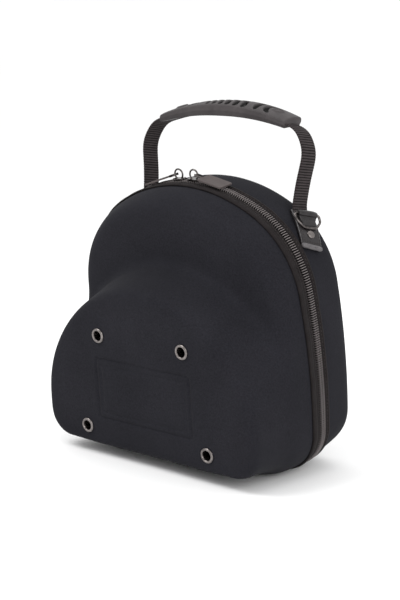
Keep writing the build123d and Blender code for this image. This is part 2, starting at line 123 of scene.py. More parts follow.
SHOULDER_CENTRE = step_centre(TOP_CENTRE, TOP_RADIUS, SHOULDER_RADIUS, TOP_ANGLE)
SIDE_ANGLE = np.arcsin(
    (HALF_WIDTH - SHOULDER_CENTRE[0] - SIDE_RADIUS) / (SHOULDER_RADIUS - SIDE_RADIUS)
)
SIDE_CENTRE = step_centre(SHOULDER_CENTRE, SHOULDER_RADIUS, SIDE_RADIUS, SIDE_ANGLE)
CORNER_ANGLE = np.arccos((CORNER_RADIUS - SIDE_CENTRE[1]) / (SIDE_RADIUS - CORNER_RADIUS))
CORNER_CENTRE = step_centre(SIDE_CENTRE, SIDE_RADIUS, CORNER_RADIUS, CORNER_ANGLE)


def trace_outline():
    """The rim's outline from the bottom's middle, up the left, over the top and
    back: arcs of constant radius about their centres, as x, z, normal and run."""
    arcs = [
        (TOP_CENTRE, TOP_RADIUS, 0.0, TOP_ANGLE),
        (SHOULDER_CENTRE, SHOULDER_RADIUS, TOP_ANGLE, SIDE_ANGLE),
        (SIDE_CENTRE, SIDE_RADIUS, SIDE_ANGLE, CORNER_ANGLE),
        (CORNER_CENTRE, CORNER_RADIUS, CORNER_ANGLE, np.pi),
    ]
    x, z, a = [], [], []
    for centre, radius, start, end in arcs:
        angle = np.linspace(start, end, 500)[:-1]
        x.append(centre[0] + radius * np.sin(angle))
        z.append(centre[1] + radius * np.cos(angle))
        a.append(angle)
    flat = np.linspace(CORNER_CENTRE[0], 0, 200)
    ends = (x + [flat], z + [0 * flat], a + [0 * flat + np.pi])
    x, z, a = (np.concatenate(part) for part in ends)
    x = np.concatenate([-x[:0:-1], x])
    z = np.concatenate([z[:0:-1], z])
    a = np.concatenate([-a[:0:-1], a])
    run = np.concatenate([[0], np.cumsum(np.hypot(np.diff(x), np.diff(z)))])
    return x, z, a, run


OUTLINE = trace_outline()
OUTLINE_LENGTH = OUTLINE[3][-1]


def outline_at(run):
    """Outline points and outward normals at these distances along it."""
    x, z, a, s = OUTLINE
    angle = np.interp(run, s, a)
    return np.interp(run, s, x), np.interp(run, s, z), np.sin(angle), np.cos(angle)


# Meshes ----------------------------------------------------------------------


def build(name, points, faces, runs=None, girths=None, hollows=None):
    """Mesh object from points in metres; run and girth, in metres along and round
    the piece, are kept as attributes for the materials."""
    mesh = bpy.data.meshes.new(name)
    mesh.from_pydata(np.asarray(points).reshape(-1, 3).tolist(), [], faces)
    mesh.validate()
    for key, values in (("run", runs), ("girth", girths), ("hollow", hollows)):
        if values is not None:
            attribute = mesh.attributes.new(key, "FLOAT", "POINT")
            attribute.data.foreach_set("value", np.asarray(values, np.float32).ravel())
    shape = bmesh.new()
    shape.from_mesh(mesh)
    bmesh.ops.remove_doubles(shape, verts=shape.verts, dist=1e-7)
    bmesh.ops.recalc_face_normals(shape, faces=shape.faces)
    shape.to_mesh(mesh)
    shape.free()
    mesh.shade_smooth()
    piece = bpy.data.objects.new(name, mesh)
    bpy.context.scene.collection.objects.link(piece)
    return piece


def grid_faces(rows, columns, wrap_rows=False, wrap_columns=False, start=0):
    """Quads of a grid of points, closed on itself in either direction."""
    index = np.arange(rows * columns).reshape(rows, columns) + start
    if wrap_rows:
        index = np.concatenate([index, index[:1]], 0)
    if wrap_columns:
        index = np.concatenate([index, index[:, :1]], 1)
    quads = np.stack([index[:-1, :-1], index[1:, :-1], index[1:, 1:], index[:-1, 1:]], -1)
    return quads.reshape(-1, 4).tolist()


def tube_faces(rows, columns, start=0):
    """A grid closed round its columns, with a flat end on its first and last row."""
    ends = [
        list(range(start, start + columns)),
        list(range(start + (rows - 1) * columns, start + rows * columns))[::-1],
    ]
    return grid_faces(rows, columns, wrap_columns=True, start=start) + ends


def copies(template, frames):
    """A small shape's points (k, 3), put at many places: origin plus each of its
    coordinates along the place's three directions. Frames is (n, 4, 3)."""
    return frames[:, None, 0] + np.einsum("kc,ncd->nkd", template, frames[:, 1:])


def copied_faces(faces, size, count):
    """The faces of that many copies of a shape with this many points."""
    shifts = np.arange(count) * size
    return [[v + shift for v in face] for shift in shifts.tolist() for face in faces]


def finish(piece, body, material, replaces=()):
    """Ride, paint and hide the nodes that a finished piece stands for."""
    piece.data.materials.clear()
    piece.data.materials.append(material)
    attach(piece, body)
    for node in replaces:
        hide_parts(node)
    return piece


def rounded(corners, count, windows):
    """A polyline with rounded corners: moving averages of these widths along it,
    with its end runs carried straight on, sampled evenly."""
    corners = np.asarray(corners, float)
    lengths = np.linalg.norm(np.diff(corners, axis=0), axis=1)
    corners = corners[np.concatenate([[True], lengths > 1e-6])]
    s = np.concatenate([[0], np.cumsum(np.linalg.norm(np.diff(corners, axis=0), axis=1))])
    reach = sum(windows)
    first = corners[0] + (corners[0] - corners[1]) / (s[1] - s[0]) * reach
    last = corners[-1] + (corners[-1] - corners[-2]) / (s[-1] - s[-2]) * reach
    knots = np.concatenate([[-reach], s, [s[-1] + reach]])
    values = np.concatenate([[first], corners, [last]])
    fine = np.linspace(-reach, s[-1] + reach, 1600)
    step = fine[1] - fine[0]
    curve = np.stack([np.interp(fine, knots, column) for column in values.T], -1)
    for window in windows:
        total = np.concatenate([[0 * curve[0]], np.cumsum((curve[1:] + curve[:-1]) / 2 * step, 0)])
        high = np.clip(fine + window / 2, fine[0], fine[-1])
        low = np.clip(fine - window / 2, fine[0], fine[-1])
        spread = (high - low)[:, None]
        curve = np.stack(
            [np.interp(high, fine, column) - np.interp(low, fine, column) for column in total.T], -1
        ) / spread
    inside = (fine >= 0) & (fine <= s[-1])
    curve = curve[inside]
    run = np.concatenate([[0], np.cumsum(np.linalg.norm(np.diff(curve, axis=0), axis=1))])
    even = np.linspace(0, run[-1], count)
    return np.stack([np.interp(even, run, column) for column in curve.T], -1)


# Shells ----------------------------------------------------------------------


def reach_of(x, z, angles):
    """Distance from the ray centre to a closed curve, in each direction."""
    direction = np.arctan2(x, z - RAY_CENTRE)
    order = np.argsort(direction)
    return np.interp(angles, direction[order], np.hypot(x, z - RAY_CENTRE)[order], period=2 * np.pi)


def circle_reach(centre, radius, angles):
    """The same for a circle on the middle line: the ray's far crossing."""
    drop = centre - RAY_CENTRE
    along = drop * np.cos(angles)
    return along + np.sqrt(radius**2 - drop**2 + along**2)


def box_reach(half, low, angles, corner=CORNER_RADIUS):
    """The same for straight sides on bottom corners of a given radius."""
    turn = np.linspace(0, np.pi / 2, 80)
    x = half - corner + corner * np.cos(turn)
    z = low + corner - corner * np.sin(turn)
    bottom = np.linspace(half - corner, 0, 60)
    side = np.linspace(900, low + corner, 900)
    x = np.concatenate([0 * side + half, x, bottom])
    z = np.concatenate([side, z, 0 * bottom + low])
    return reach_of(np.concatenate([x, -x]), np.concatenate([z, z]), angles)


def soft_min(a, b, softness=2.5):
    """Smaller of two, with a rounded change from one to the other."""
    return -softness * np.logaddexp(-a / softness, -b / softness)


def face_y(height):
    """Where the dome's sloping face is, front to back, at this height."""
    return -DOME_DEPTH + FACE_SLOPE * (height - FACE_HEIGHT)


def front_profiles(angles, inset, count):
    """For each ray, the section of the front shell from the middle of its face to
    the rim: face, dome's edge, wall, valley, panel, panel's edge and rim."""
    rim = reach_of(OUTLINE[0], OUTLINE[1], angles)
    low = smooth_step(0.55, 0.95, -np.cos(angles))
    panel_box = box_reach(PANEL_HALF, PANEL_LOW, angles)
    valley = soft_min(circle_reach(VALLEY_CENTRE, VALLEY_RADIUS, angles), panel_box)
    width = np.maximum(rim - valley, 0)
    edge_inset = PANEL_INSET * smooth_step(0, 30, width)
    panel = soft_min(rim - edge_inset, panel_box + 0.6, 1.0)
    valley = soft_min(valley, panel, 1.2)
    dome_box = box_reach(DOME_HALF, DOME_LOW, angles, DOME_CORNER)
    dome = soft_min(circle_reach(DOME_CENTRE, DOME_RADIUS, angles), dome_box, 2.0)
    rows = []
    for i, angle in enumerate(angles):
        c = np.cos(angle)
        corners = [
            (0, face_y(RAY_CENTRE)),
            (dome[i], face_y(RAY_CENTRE + dome[i] * c)),
            (valley[i], -PANEL_DEPTH - 2.2),
            (panel[i], -PANEL_DEPTH + 0.4),
            (rim[i] - 0.28 * (rim[i] - panel[i]) * (1 - low[i]), -11.0),
            (rim[i] + 0.5 * low[i], -3.0),
            (rim[i], 10.9),
        ]
        rows.append(rounded(corners, count, FRONT_SOFTNESS))
    return inset_profile(np.array(rows), angles, inset)


def rear_profiles(angles, inset, count):
    """For each ray, the section of the rear shell from the middle of its back to
    the rim, with a slightly crowned back."""
    rim = reach_of(OUTLINE[0], OUTLINE[1], angles)
    rows = []
    for i in range(len(angles)):
        corners = [
            (0, REAR_DEPTH + REAR_CROWN),
            (0.45 * rim[i], REAR_DEPTH + 0.75 * REAR_CROWN),
            (rim[i] - 5.0, REAR_DEPTH - 0.6),
            (rim[i] - 1.0, 46.0),
            (rim[i], 22.0),
        ]
        rows.append(rounded(corners, count, REAR_SOFTNESS))
    return inset_profile(np.array(rows), angles, inset)


def inset_profile(rows, angles, inset):
    """Each section as points in space, moved inwards along its own normal."""
    tangent = np.gradient(rows, axis=1)
    tangent /= np.linalg.norm(tangent, axis=-1, keepdims=True) + 1e-12
    normal = np.stack([-tangent[..., 1], tangent[..., 0]], -1)
    side = np.sign(normal[:, :1, 1:2])
    outward = np.sign(rows[:, :1, 1:2]) * side * normal
    moved = rows - inset * outward
    reach = np.maximum(moved[..., 0], 0)
    reach[:, 0] = 0
    x = reach * np.sin(angles)[:, None]
    z = RAY_CENTRE + reach * np.cos(angles)[:, None]
    return np.stack([x, moved[..., 1], z], -1)


def emblem(points):
    """Plain sunken field with a fine groove round it, pressed into the face: depth
    falls with the distance from a rounded rectangle."""
    x, z = points[..., 0], points[..., 2]
    dx = np.abs(x) - (EMBLEM_HALF[0] - EMBLEM_CORNER)
    dz = np.abs(z - EMBLEM_CENTRE) - (EMBLEM_HALF[1] - EMBLEM_CORNER)
    outside = np.hypot(np.maximum(dx, 0), np.maximum(dz, 0))
    distance = outside + np.minimum(np.maximum(dx, dz), 0) - EMBLEM_CORNER
    groove = np.exp(-((distance / 1.25) ** 2))
    inner = np.exp(-(((distance + 6.0) / 1.2) ** 2))
    on_face = points[..., 1] < -60
    return on_face * (1.3 * groove + 0.6 * inner - 0.35 * smooth_step(0, 3, -distance - 7.5))


def shell_piece(name, profiles, angles, insets, counts, pressed=False):
    """Closed shell: its outer section from middle to rim, then its inner section
    back to the middle, for every ray."""
    outer = profiles(angles, insets[0], counts[0])
    inner = profiles(angles, insets[1], counts[1])[:, ::-1]
    if pressed:
        outer[..., 1] += emblem(outer)
    points = np.concatenate([outer, inner], 1)
    return build(name, stand(points), grid_faces(*points.shape[:2], wrap_rows=True))


def cut_holes(piece, places, radius):
    """Drill round holes along the face's normal at these places."""
    cutter_mesh = bpy.data.meshes.new("cutter")
    shape = bmesh.new()
    for x, z in places:
        centre = Vector(stand((x, face_y(z), z)))
        turn = Matrix.Rotation(LEAN - FACE_TILT + np.pi / 2, 4, "X")
        bmesh.ops.create_cone(
            shape, cap_ends=True, segments=48, radius1=radius, radius2=radius, depth=0.03,
            matrix=Matrix.Translation(centre) @ turn,
        )
    shape.to_mesh(cutter_mesh)
    shape.free()
    cutter = bpy.data.objects.new("cutter", cutter_mesh)
    bpy.context.scene.collection.objects.link(cutter)
    drill = piece.modifiers.new("eyelet holes", "BOOLEAN")
    drill.object, drill.operation, drill.solver = cutter, "DIFFERENCE", "EXACT"
    bpy.context.view_layer.update()
    drilled_piece = piece.evaluated_get(bpy.context.evaluated_depsgraph_get())
    drilled = bpy.data.meshes.new_from_object(drilled_piece)
    piece.modifiers.clear()
    piece.data = drilled
    bpy.data.objects.remove(cutter)
    piece.data.shade_smooth()


# Sweeps round the rim --------------------------------------------------------


def round_rim(name, profile, count, start=0.0, end=None, waves=None):
    """A closed profile of (offset, y) carried along the outline: each point is the
    outline's point plus the offset along its normal."""
    closed = end is None
    stop = OUTLINE_LENGTH if closed else end
    run = np.linspace(start, stop, count, endpoint=not closed)
    x, z, nx, nz = outline_at(run)
    offset, y = np.asarray(profile, float).T
    offset = np.broadcast_to(offset, (count, len(y))).copy()
    if waves is not None:
        offset += waves(run)[:, None] * (offset > 0)
    x, z, nx, nz = (column[:, None] for column in (x, z, nx, nz))
    across = np.broadcast_to(y, offset.shape)
    points = np.stack([x + nx * offset, across, z + nz * offset], -1)
    steps = np.hypot(*np.diff(np.asarray(profile, float), axis=0).T)
    girth = np.concatenate([[0], np.cumsum(steps)])
    faces = grid_faces(count, len(y), True, True) if closed else tube_faces(count, len(y))
    runs = np.broadcast_to(run[:, None], offset.shape) / 1000
    girths = np.broadcast_to(girth, offset.shape) / 1000
    return build(name, stand(points), faces, runs, girths)


def rim_frames(run, y, offset):
    """Places on the rim: origin, then along the rim, across it (Y) and outwards."""
    x, z, nx, nz = outline_at(run)
    zero = 0 * x
    origin = np.stack([x + nx * offset, zero + y, z + nz * offset], -1)
    along = np.stack([nz, zero, -nx], -1)
    across = np.stack([zero, zero + 1, zero], -1)
    outward = np.stack([nx, zero, nz], -1)
    return np.stack([origin, along, across, outward], 1)


def capsule(length, radius, rings=5, sides=6, sag=0.0):
    """Rod along X with rounded ends: its radius falls to nothing as an ellipse's
    does, and its middle rises by sag."""
    t = np.linspace(-1, 1, rings + 2)[1:-1]
    thick = radius * np.sqrt(1 - np.abs(t) ** 4)
    turn = np.linspace(0, 2 * np.pi, sides, endpoint=False)
    x = np.broadcast_to((t * length / 2)[:, None], (rings, sides))
    y = thick[:, None] * np.cos(turn)
    z = thick[:, None] * np.sin(turn) + (sag * (1 - t**2))[:, None]
    return np.stack([x, y, z], -1).reshape(-1, 3), tube_faces(rings, sides)


def stitch_row(name, frames, length=2.5, radius=0.32):
    """A row of thread stitches, one at each place, along its first direction."""
    template, faces = capsule(length, radius, 5, 6, 0.12)
    points = copies(template, frames)
    return build(name, stand(points), copied_faces(faces, len(template), len(frames)))


def coil_teeth(name, y_root, y_head):
    """Nylon coil: arched loops from the tape's side to the other coil's side, one
    every pitch along the rim; each is a round rod on a half-ellipse."""
    run = np.arange(ZIP_END + 1.0, OUTLINE_LENGTH - ZIP_END - 1.0, TOOTH_PITCH)
    t = np.linspace(0, np.pi, 7)
    path_y = y_root + (y_head - y_root) * (1 - np.cos(t)) / 2
    path_z = -0.45 + 2.25 * np.sin(t) ** 0.6
    turn = np.linspace(0, 2 * np.pi, 6, endpoint=False)
    ny, nz = np.gradient(path_z), -np.gradient(path_y)
    size = np.hypot(ny, nz)
    swell = np.where(t > 2.2, 1.12, 1.0)[:, None] * TOOTH_ROD
    template = np.stack(
        [
            0.72 * swell * np.cos(turn) + 0 * t[:, None],
            path_y[:, None] + swell * np.sin(turn) * (ny / size)[:, None],
            path_z[:, None] + swell * np.sin(turn) * (nz / size)[:, None],
        ],
        -1,
    ).reshape(-1, 3)
    points = copies(template, rim_frames(run, 0.0, 0.0))
    return build(name, stand(points), copied_faces(tube_faces(7, 6), len(template), len(run)))


# Materials -------------------------------------------------------------------


class Value:
    """A socket that adds its own Math nodes when it is used in an expression."""

    def __init__(self, paint, socket):
        self.paint, self.socket = paint, socket

    def _math(self, operation, a, b=None, clamp=False):
        values = {0: a} if b is None else {0: a, 1: b}
        return self.paint.node("ShaderNodeMath", {"operation": operation, "use_clamp": clamp}, values)

    def __add__(self, other):
        return self._math("ADD", self, other)

    __radd__ = __add__

    def __mul__(self, other):
        return self._math("MULTIPLY", self, other)

    def __sub__(self, other):
        return self._math("SUBTRACT", self, other)

    def sine(self):
        return self._math("SINE", self)

    def size(self):
        return self._math("ABSOLUTE", self)

    def above(self, edge, softness):
        """0 below the edge and 1 above it, over a soft step."""
        return self._math("MULTIPLY", self - (edge - softness / 2), 1 / softness, clamp=True)


class Paint:
    """A material with one Principled shader; its nodes come from node()."""

    def __init__(self, name, roughness=0.5, metallic=0.0, **constants):
        self.material = bpy.data.materials.new(name)
        self.material.use_nodes = True
        self.tree = self.material.node_tree
        self.shader = self.tree.nodes["Principled BSDF"]
        self.shader.inputs["Roughness"].default_value = roughness
        self.shader.inputs["Metallic"].default_value = metallic
        for key, value in constants.items():
            self.shader.inputs[key.replace("_", " ")].default_value = value

    def node(self, kind, settings=None, values=None, out=0):
        node = self.tree.nodes.new(kind)
        for key, value in (settings or {}).items():
            setattr(node, key, value)
        for key, value in (values or {}).items():
            self.join(value, node.inputs[key])
        return Value(self, node.outputs[out])

    def join(self, value, socket):
        if isinstance(value, Value):
            self.tree.links.new(value.socket, socket)
        else:
            socket.default_value = value

    def place(self):
        return self.node("ShaderNodeTexCoord", out="Object")

    def attribute(self, name):
        return self.node("ShaderNodeAttribute", {"attribute_name": name}, out="Fac")

    def noise(self, scale, detail=3.0, roughness=0.55):
        values = {"Scale": scale, "Detail": detail, "Roughness": roughness}
        values["Vector"] = self.place()
        return self.node("ShaderNodeTexNoise", values=values)

    def cells(self, scale, feature="F1"):
        values = {"Scale": scale, "Vector": self.place()}
        return self.node("ShaderNodeTexVoronoi", {"feature": feature}, values, "Distance")

    def blend(self, amount, first, second):
        """Colour that goes from first to second."""
        values = {0: amount, 6: self._colour(first), 7: self._colour(second)}
        return self.node("ShaderNodeMix", {"data_type": "RGBA"}, values, 2)

    @staticmethod
    def _colour(value):
        return value if isinstance(value, Value) else (*value, 1.0)

    def colour(self, value):
        self.join(value, self.shader.inputs["Base Color"])

    def rough(self, value):
        self.join(value, self.shader.inputs["Roughness"])

    def relief(self, height, distance, strength=1.0):
        """Bump from a height of 0 to 1 that stands this many metres."""
        values = {"Height": height, "Distance": distance, "Strength": strength}
        bump = self.node("ShaderNodeBump", values=values)
        self.join(bump, self.shader.inputs["Normal"])


def jersey():
    """Brushed knit bonded to moulded foam: fine ribs of stitches under a nap, with
    soft worn patches."""
    sheen = {"Sheen_Weight": 0.02, "Sheen_Roughness": 0.45}
    paint = Paint("bonded jersey", 0.86, Specular_IOR_Level=0.04, **sheen)
    patches = paint.noise(14, 4)
    nap = paint.noise(620, 4, 0.7)
    fibres = paint.noise(2300, 2, 0.6)
    knit = paint.cells(1150)
    shade = patches * 0.25 + nap * 0.5 + fibres * 0.25
    dark, light = (0.0048, 0.0048, 0.0062), (0.0235, 0.0232, 0.0285)
    paint.colour(paint.blend(shade.above(0.5, 0.5), dark, light))
    paint.rough(0.78 + nap * 0.16)
    paint.relief(nap * 0.45 + fibres * 0.25 + knit * 0.6, 0.00022, 0.55)
    return paint.material


def lining():
    """Thin knit inside the shells, with slow changes of tone."""
    paint = Paint("knitted lining", 0.8, Specular_IOR_Level=0.2, Sheen_Weight=0.1)
    loops = paint.cells(900)
    fold = paint.noise(30, 3)
    paint.colour(paint.blend(fold, (0.018, 0.018, 0.019), (0.032, 0.032, 0.034)))
    paint.relief(loops, 0.0002, 0.6)
    return paint.material


def grosgrain(name, dark, light, pitch=0.0011, gloss=0.55, sheen=0.01):
    """Woven ribbon: ribs across its length at a pitch, crossed by finer threads. Its colour is darker
    between the ribs and lighter on them, as painted shade and painted highlight, mixed with random
    wear.
    """
    paint = Paint(name, gloss, Specular_IOR_Level=0.05, Sheen_Weight=sheen, Sheen_Roughness=0.4)
    run, girth = paint.attribute("run"), paint.attribute("girth")
    wander = paint.noise(260, 3)
    rib = (run * (2 * np.pi / pitch) + wander * 1.4).sine() * 0.5 + 0.5
    thread = (girth * (2 * np.pi / 0.0006)).sine() * 0.5 + 0.5
    wear = paint.noise(90, 4)
    # Painted shade between the ribs and painted highlight on them, mixed with random wear.
    paint.colour(paint.blend((rib * 0.45 + wear * 0.75).above(0.55, 0.9), dark, light))
    paint.rough(gloss - 0.06 + wear * 0.14)
    paint.relief(rib * 0.75 + thread * 0.25, 0.00022, 0.7)
    return paint.material


def coil_nylon():
    """Satin monofilament, a little uneven in tone."""
    paint = Paint("coil nylon", 0.42, Specular_IOR_Level=0.45)
    tone = paint.noise(420, 3)
    paint.colour(paint.blend(tone, (0.07, 0.060, 0.061), (0.20, 0.175, 0.172)))
    paint.rough(0.28 + tone * 0.18)
    paint.relief(paint.noise(2500, 2), 0.00004, 0.4)
    return paint.material


def nickel(name, light, dark, gloss):
    """Plated metal: fine wear, small pits and dulled patches."""
    paint = Paint(name, gloss, 1.0)
    wear = paint.noise(240, 5, 0.6)
    scratch = paint.noise(1800, 2)
    paint.colour(paint.blend(wear.above(0.5, 0.4), dark, light))
    paint.rough(gloss - 0.04 + wear * 0.16)
    paint.relief(wear * 0.5 + scratch * 0.5, 0.00005, 0.35)
    return paint.material


def leather(name, dark, light):
    """Grained hide: soft cells of grain crossed by creases that catch the light."""
    paint = Paint(name, 0.42, Specular_IOR_Level=0.32)
    grain = paint.cells(700, feature="SMOOTH_F1")
    crease = paint.noise(210, 5, 0.62)
    paint.colour(paint.blend((crease * 0.8 + grain * 0.5).above(0.55, 0.7), dark, light))
    paint.rough(0.18 + crease * 0.26)
    paint.relief(grain * 0.6 + crease * 0.5, 0.0003, 0.6)
    return paint.material


def webbing_cloth():
    """Ribbed polyester: the ribs are in the shape; threads cross them finely. Its colour is darker in
    the furrows between ribs and lighter on their crests, as painted shade and painted highlight, mixed
    with random wear.
    """
    paint = Paint("webbing", 0.66, Specular_IOR_Level=0.05, Sheen_Weight=0.01, Sheen_Roughness=0.4)
    run, girth = paint.attribute("run"), paint.attribute("girth")
    rib = (run * (1000 * np.pi / RIB_PITCH)).sine().size()
    thread = (girth * (2 * np.pi / 0.0009) + paint.noise(500, 2) * 2.0).sine() * 0.5 + 0.5
    wear = paint.noise(120, 4)
    dark, light = (0.003, 0.0024, 0.0024), (0.048, 0.040, 0.041)
    # Painted shade in the furrows between ribs and painted highlight on their crests, mixed with random
    # wear.
    paint.colour(paint.blend((rib + wear * 0.5).above(0.85, 0.8), dark, light))
    paint.relief(thread * 0.6 + paint.noise(1600, 3) * 0.4, 0.00022, 0.7)
    return paint.material


def moulded(name, dark, light, gloss, shadowed=None):
    """Satin moulded rubber: fine spark texture, scuffs and paler handled places."""
    paint = Paint(name, gloss, Specular_IOR_Level=0.15)
    scuff = paint.noise(70, 5, 0.6)
    spark = paint.noise(1500, 3, 0.6)
    skin = paint.blend((scuff * 0.7 + spark * 0.3).above(0.5, 0.5), dark, light)
    if shadowed:
        skin = paint.blend(paint.attribute("hollow").above(0.35, 0.4), skin, shadowed)
    paint.colour(skin)
    paint.rough(gloss - 0.05 + scuff * 0.14)
    paint.relief(spark, 0.00008, 0.5)
    return paint.material


JERSEY = jersey()
LINING = lining()
RIBBON_DARK, RIBBON_LIGHT = (0.0045, 0.0036, 0.0037), (0.021, 0.0178, 0.018)
BINDING = grosgrain("binding ribbon", RIBBON_DARK, RIBBON_LIGHT, gloss=0.6)
TAPE = grosgrain("zip tape", (0.003, 0.0026, 0.0026), (0.008, 0.007, 0.007), 0.0006, 0.6, 0.0)
COIL = coil_nylon()
NICKEL = nickel("nickel plate", (0.62, 0.585, 0.55), (0.36, 0.33, 0.31), 0.22)
BLACK_NICKEL = nickel("black nickel", (0.15, 0.135, 0.13), (0.028, 0.025, 0.025), 0.16)
DARK_NICKEL = nickel("dark nickel", (0.27, 0.245, 0.235), (0.12, 0.108, 0.104), 0.27)
LEATHER = leather("grained leather", (0.003, 0.0026, 0.0028), (0.022, 0.0185, 0.0195))
# The roll's leather is a much paler copy of the patch leather: a painted highlight along the rolled
# edge.
HIGHLIT_LEATHER = leather("rubbed leather edge", (0.035, 0.032, 0.034), (0.12, 0.112, 0.115))
THREAD = grosgrain("thread", (0.014, 0.012, 0.012), (0.045, 0.039, 0.038), 0.0004, 0.6, 0.08)
WEBBING = webbing_cloth()
GRIP_DARK, GRIP_LIGHT = (0.027, 0.0235, 0.0243), (0.066, 0.0585, 0.0595)
GRIP_SHADOW = (0.002, 0.0016, 0.0016)
GRIP = moulded("grip rubber", GRIP_DARK, GRIP_LIGHT, 0.5, GRIP_SHADOW)
TAG = moulded("tag rubber", (0.060, 0.050, 0.049), (0.095, 0.080, 0.078), 0.52)

# Shells and linings ----------------------------------------------------------
FRONT_RAYS = np.linspace(-np.pi, np.pi, 400, endpoint=False)
LINING_RAYS = np.linspace(-np.pi, np.pi, 220, endpoint=False)
shell_insets = (0.0, SHELL_WALL)
lining_insets = (SHELL_WALL + LINING_GAP, SHELL_WALL + LINING_GAP + LINING_WALL)

front_shell = shell_piece("front_shell_skin", front_profiles, FRONT_RAYS, shell_insets, (150, 46), True)
front_lining = shell_piece("front_lining_skin", front_profiles, LINING_RAYS, lining_insets, (60, 60))
rear_shell = shell_piece("rear_shell_skin", rear_profiles, FRONT_RAYS, shell_insets, (96, 40))
rear_lining = shell_piece("rear_lining_skin", rear_profiles, LINING_RAYS, lining_insets, (56, 56))
for shell in (front_shell, front_lining):
    cut_holes(shell, EYELETS.values(), EYELET_HOLE / 1000)
finish(front_shell, "front_half", JERSEY, ["front_shell"])
finish(front_lining, "front_half", LINING, ["front_lining"])
finish(rear_shell, "rear_half", JERSEY, ["rear_shell"])
finish(rear_lining, "rear_half", LINING, ["rear_lining"])

# Bindings --------------------------------------------------------------------


def binding_profile(front, back, facing):
    """Section of a ribbon folded over a shell's edge: a crowned outer leaf, the
    edge and a flat inner leaf. Facing is 1 where its edge is at the back."""
    width = back - front
    corners = [
        (0.06, 0.15), (0.9, 0.0), (1.95, 0.1 * width), (2.0, 0.44 * width),
        (1.15, 0.56 * width), (1.15, 0.92 * width), (0.6, width - 0.1), (-0.6, width + 0.25),
        (-4.2, width + 0.25), (-5.6, width - 0.6), (-5.75, 0.5 * width), (-5.6, 0.5),
        (-4.6, 0.3), (-4.5, width - 0.9), (0.0, width - 0.9),
    ]
    offset, across = np.array(corners).T
    y = front + across if facing > 0 else back - across
    closed = np.stack([offset, y], -1)
    closed = np.concatenate([closed, closed[:1]])
    return rounded(closed, 56, (0.7,))[:-1]


def ripple(run):
    """Slight unevenness of a sewn ribbon along its length."""
    return 0.10 * np.sin(run / 7.3) + 0.07 * np.sin(run / 3.1 + 1.0)


front_binding = round_rim("front_binding_ribbon", binding_profile(0, 12, 1), 900, waves=ripple)
finish(front_binding, "front_half", BINDING, ["front_binding"])
rear_binding = round_rim("rear_binding_ribbon", binding_profile(21, 27, -1), 900, waves=ripple)
finish(rear_binding, "rear_half", BINDING, ["rear_binding"])

for label, body, y in (("front", "front_half", 8.9), ("rear", "rear_half", 23.6)):
    places = rim_frames(np.arange(1.0, OUTLINE_LENGTH - 1, STITCH_PITCH), y, 1.22)
    finish(stitch_row(label + "_binding_stitches", places), body, THREAD)

# Zip -------------------------------------------------------------------------
band = [(-1.55, 0.0), (-0.75, 0.0), (-0.75, 1.0), (-1.55, 1.0)]
zip_run = (ZIP_END + 0.2, OUTLINE_LENGTH - ZIP_END - 0.2)
for label, body, tape_span, core_span, tooth_span, edge in (
    ("front", "front_half", (11.6, 16.35), (13.0, 15.6), (13.1, 16.55), 12.55),
    ("rear", "rear_half", (16.65, 21.6), (17.4, 20.0), (20.0, 16.45), 20.45),
):
    tape = [(o, tape_span[0] + t * (tape_span[1] - tape_span[0])) for o, t in band]
    tape_band = round_rim(label + "_tape_band", tape, 500, *zip_run)
    finish(tape_band, body, TAPE, [label + "_zip_tape"])
    core = [
        (max(o + 0.85 * (o > -1), -0.72), core_span[0] + t * (core_span[1] - core_span[0]))
        for o, t in band
    ]
    finish(round_rim(label + "_coil_core", core, 500, *zip_run), body, TAPE)
    teeth = coil_teeth(label + "_coil_teeth", *tooth_span)
    finish(teeth, body, COIL, [label + "_zip_coil"])
    rows = rim_frames(np.arange(zip_run[0] + 2, zip_run[1] - 2, TAPE_STITCH_PITCH), edge, -0.62)
    finish(stitch_row(label + "_coil_stitches", rows, 1.7, 0.2), body, THREAD)

# Hinge strip -----------------------------------------------------------------


def hinge_strip():
    """Woven strip under the case: a flat grid with rounded long edges."""
    near, far = STRIP_SPAN
    corners = [(near, STRIP_TOP), (far, STRIP_TOP), (far, STRIP_BOTTOM), (near, STRIP_BOTTOM)]
    section = rounded(corners + corners[:1], 60, (0.3,))[:-1]
    x = np.linspace(-STRIP_HALF, STRIP_HALF, 120)
    y = np.broadcast_to(section[:, 0], (120, len(section)))
    z = np.broadcast_to(section[:, 1], y.shape)
    points = np.stack([np.broadcast_to(x[:, None], y.shape), y, z], -1)
    girth = np.broadcast_to(np.linspace(0, 0.036, len(section)), y.shape)
    runs = np.broadcast_to(x[:, None] / 1000, y.shape)
    return build("hinge_fabric_strip", stand(points), tube_faces(120, len(section)), runs, girth)


strip = hinge_strip()
strip.data.materials.append(TAPE)
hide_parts("hinge_strip")
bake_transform(strip)

# Eyelets ---------------------------------------------------------------------


def eyelet(name, x, z):
    """Rolled eyelet turned about the face's normal: a torus-like flange, a throat
    and a barrel that goes through the wall."""
    flange = [(4.75, -5.0), (4.75, 0.3), (5.2, 1.7), (6.4, 1.9), (7.5, 1.1), (7.6, 0.08)]
    barrel = [(5.25, 0.08), (5.25, -5.0), (4.75, -5.0)]
    section = rounded(flange + barrel, 46, (0.7, 0.4))[:-1]
    turn = np.linspace(0, 2 * np.pi, 56, endpoint=False)
    radius, height = section[:, 0], section[:, 1]
    flat = np.stack([np.outer(np.cos(turn), radius), np.outer(np.sin(turn), radius)], -1)
    up = np.array([0, np.sin(FACE_TILT), np.cos(FACE_TILT)])
    out = np.array([0, -np.cos(FACE_TILT), np.sin(FACE_TILT)])
    centre = np.array([x, face_y(z), z])
    sideways = flat[..., :1] * np.array([1, 0, 0])
    points = centre + sideways + flat[..., 1:] * up + height[None, :, None] * out
    return build(name, stand(points), grid_faces(len(turn), len(section), True, True))


